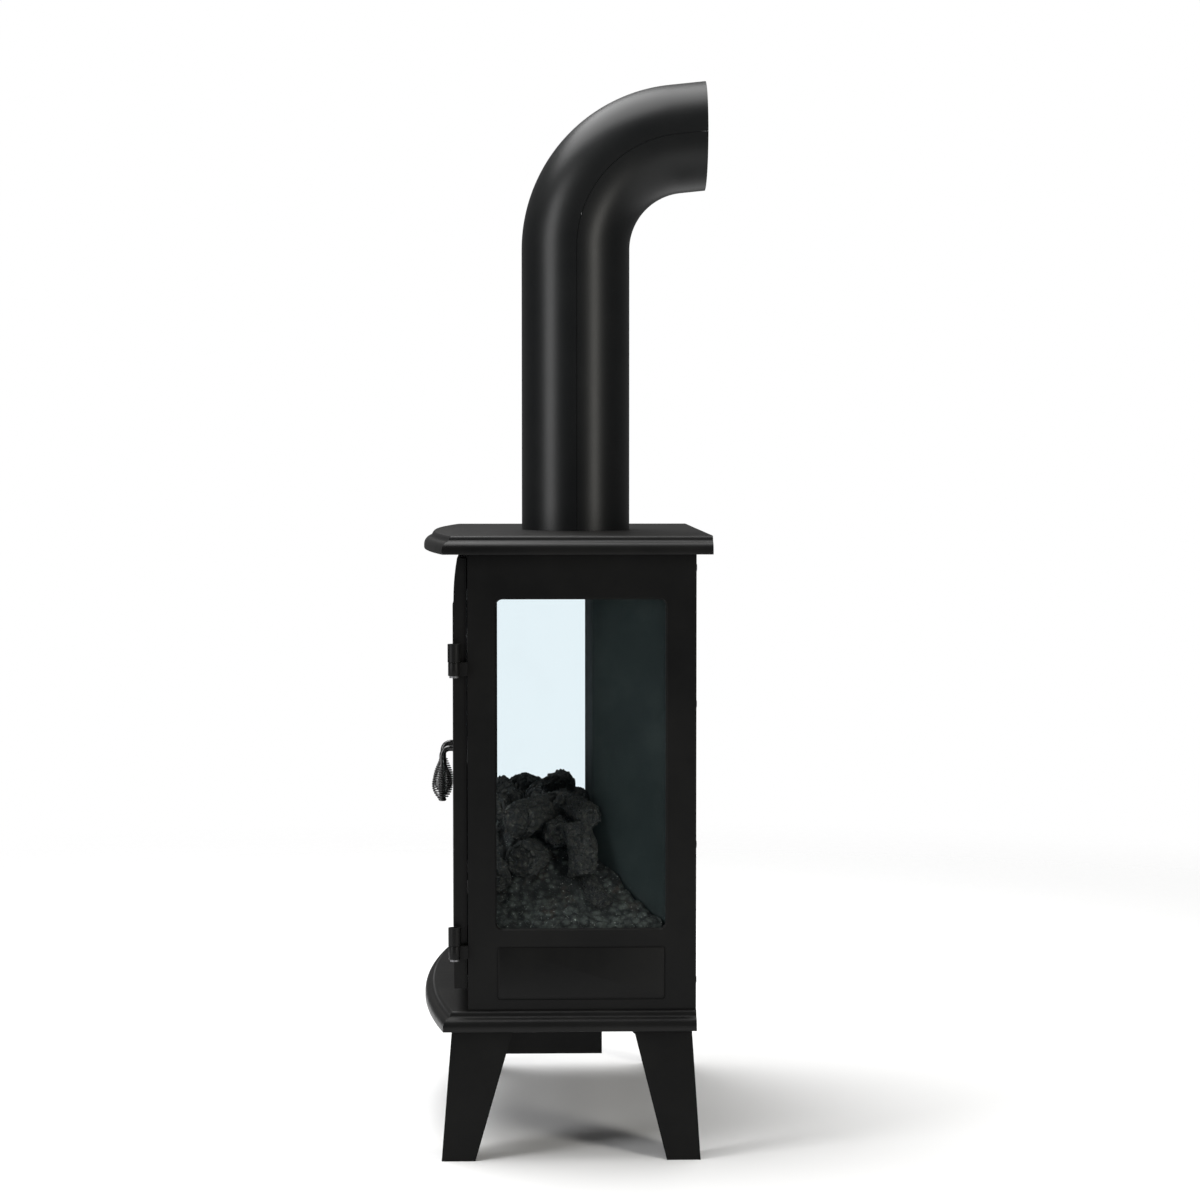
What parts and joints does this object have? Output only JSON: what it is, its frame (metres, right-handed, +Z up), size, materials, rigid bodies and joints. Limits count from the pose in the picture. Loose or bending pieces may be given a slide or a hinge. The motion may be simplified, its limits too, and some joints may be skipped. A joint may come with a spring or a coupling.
{
  "type": "log effect stove",
  "caption": "Freestanding electric log-effect stove with double glazed doors, glazed sides, splayed sheet legs and an angled dummy flue pipe.",
  "frame": {"origin": "on the floor at the centre of the overall box", "axes": "+Z up, -Y towards the doors, +X to the right of someone facing +Y"},
  "size_m": [0.48, 0.292, 1.0744],
  "materials": {
    "black_steel": "satin powder coat",
    "pipe_black": "smooth satin enamel",
    "interior_black": "matt",
    "screen_grey": "half-silvered grey",
    "bright_metal": "bright",
    "zinc_screws": "zinc plated",
    "clear_glass": "clear, faint cool tint",
    "log_resin": "painted charred bark",
    "ember_resin": "painted embers and ash",
    "handle_gloss": "gloss black",
    "motor_metal": "plain",
    "black_plastic": "moulded",
    "circuit_board": "solder mask"
  },
  "bodies": {
    "casing": {"base_plate": "black_steel", "top_plate": "black_steel", "side_panel_right": "black_steel", "side_panel_left": "black_steel", "rear_panel": "black_steel", "front_frame": "black_steel", "leg_front_right": "black_steel", "leg_front_left": "black_steel", "leg_rear_right": "black_steel", "leg_rear_left": "black_steel", "leg_bolts": "zinc_screws", "casing_screws": "zinc_screws", "side_glass_right": "clear_glass", "side_glass_left": "clear_glass", "side_glass_clips": "motor_metal", "pipe_spigot": "motor_metal", "pipe_front_half": "pipe_black", "pipe_rear_half": "pipe_black", "flame_screen": "screen_grey", "reveal_right": "interior_black", "reveal_left": "interior_black", "firebox_ceiling": "interior_black", "firebox_floor": "interior_black", "ember_bed": "ember_resin", "log_rear": "log_resin", "log_front": "log_resin", "log_cross": "log_resin", "back_reflector": "bright_metal", "spindle_motor": "motor_metal", "spindle_brackets": "motor_metal", "led_strip": "circuit_board", "heater_box": "black_steel", "heater_grille": "black_steel", "heating_element": "zinc_screws", "fan_motor": "motor_metal", "control_panel": "black_plastic", "control_board": "circuit_board", "cable_gland": "black_plastic", "hinge_lugs": "black_steel", "hinge_pins": "zinc_screws", "magnet_catches": "black_plastic"},
    "door_right": {"door_frame_right": "black_steel", "door_glass_right": "clear_glass", "door_glass_clips_right": "motor_metal", "door_knuckles_right": "black_steel"},
    "handle_right": {"handle_rod_right": "handle_gloss", "handle_grip_right": "handle_gloss", "latch_cam_right": "motor_metal"},
    "door_left": {"door_frame_left": "black_steel", "door_glass_left": "clear_glass", "door_glass_clips_left": "motor_metal", "door_knuckles_left": "black_steel"},
    "handle_left": {"handle_rod_left": "handle_gloss", "handle_grip_left": "handle_gloss", "latch_cam_left": "motor_metal"},
    "spindle": {"flame_spindle": "bright_metal"},
    "fan": {"fan_wheel": "motor_metal"},
    "power_rocker": {"rocker_power": "black_plastic"},
    "heat_rocker": {"rocker_heat": "black_plastic"},
    "dimmer": {"dimmer_knob": "black_plastic"}
  },
  "joints": [
    {"name": "door_right_swing", "type": "hinge", "parent": "casing", "child": "door_right", "pos_m": [0.228, -0.112, 0.35], "axis": [0, 0, 1], "range_deg": [0, 115]},
    {"name": "door_left_swing", "type": "hinge", "parent": "casing", "child": "door_left", "pos_m": [-0.228, -0.112, 0.35], "axis": [0, 0, -1], "range_deg": [0, 115]},
    {"name": "handle_right_turn", "type": "hinge", "parent": "door_right", "child": "handle_right", "pos_m": [0.03, -0.112, 0.384], "axis": [0, -1, 0], "range_deg": [0, 90]},
    {"name": "handle_left_turn", "type": "hinge", "parent": "door_left", "child": "handle_left", "pos_m": [-0.03, -0.112, 0.384], "axis": [0, 1, 0], "range_deg": [0, 90]},
    {"name": "spindle_spin", "type": "hinge", "parent": "casing", "child": "spindle", "pos_m": [0, 0.062, 0.25], "axis": [1, 0, 0], "continuous": true},
    {"name": "fan_spin", "type": "hinge", "parent": "casing", "child": "fan", "pos_m": [0, 0.008, 0.107], "axis": [1, 0, 0], "continuous": true},
    {"name": "power_rocker_tilt", "type": "hinge", "parent": "casing", "child": "power_rocker", "pos_m": [-0.055, -0.074, 0.182], "axis": [-1, 0, 0], "range_deg": [0, 12]},
    {"name": "heat_rocker_tilt", "type": "hinge", "parent": "casing", "child": "heat_rocker", "pos_m": [-0.015, -0.074, 0.182], "axis": [-1, 0, 0], "range_deg": [0, 12]},
    {"name": "dimmer_turn", "type": "hinge", "parent": "casing", "child": "dimmer", "pos_m": [0.045, -0.08, 0.182], "axis": [0, -1, 0], "range_deg": [-270, 0]}
  ]
}
